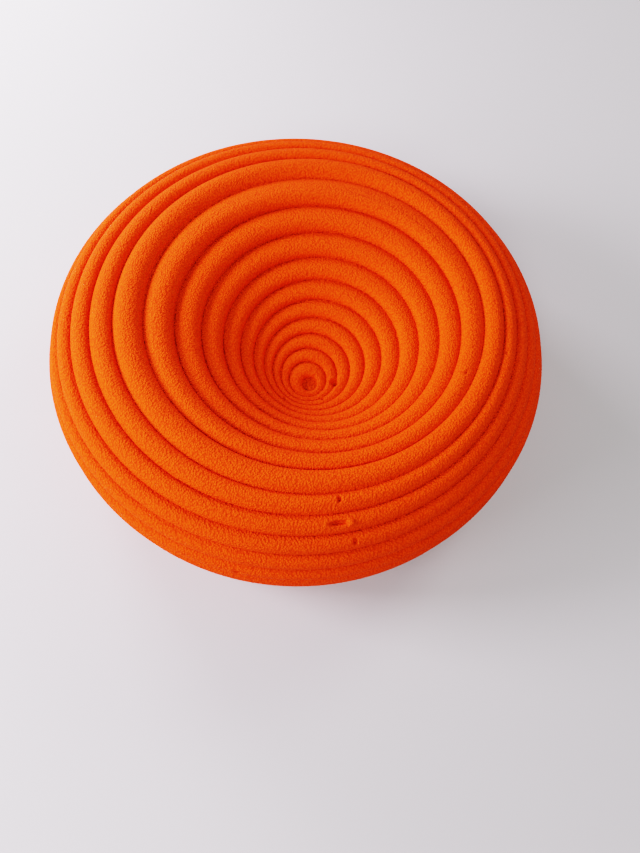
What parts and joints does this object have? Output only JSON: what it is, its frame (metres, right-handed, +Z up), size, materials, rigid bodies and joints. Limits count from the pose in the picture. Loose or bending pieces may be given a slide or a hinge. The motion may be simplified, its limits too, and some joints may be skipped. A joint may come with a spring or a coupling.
{
  "type": "mousse cake",
  "caption": "Round moulded mousse cake, ribbed all over in rings that sink into an off-centre hollow, with a matt orange velvet coat.",
  "frame": {"origin": "middle of the flat base, at the height of the surface that the cake stands on", "axes": "+Z up; +Y away from the viewer of the picture; +X to the viewer's right, the way the rings of the hollow shift"},
  "size_m": [0.1798, 0.1798, 0.056],
  "materials": {
    "velvet_mousse": "matt sprayed cocoa butter velvet, finely grained"
  },
  "bodies": {
    "root": {"cake": "velvet_mousse"}
  },
  "joints": []
}
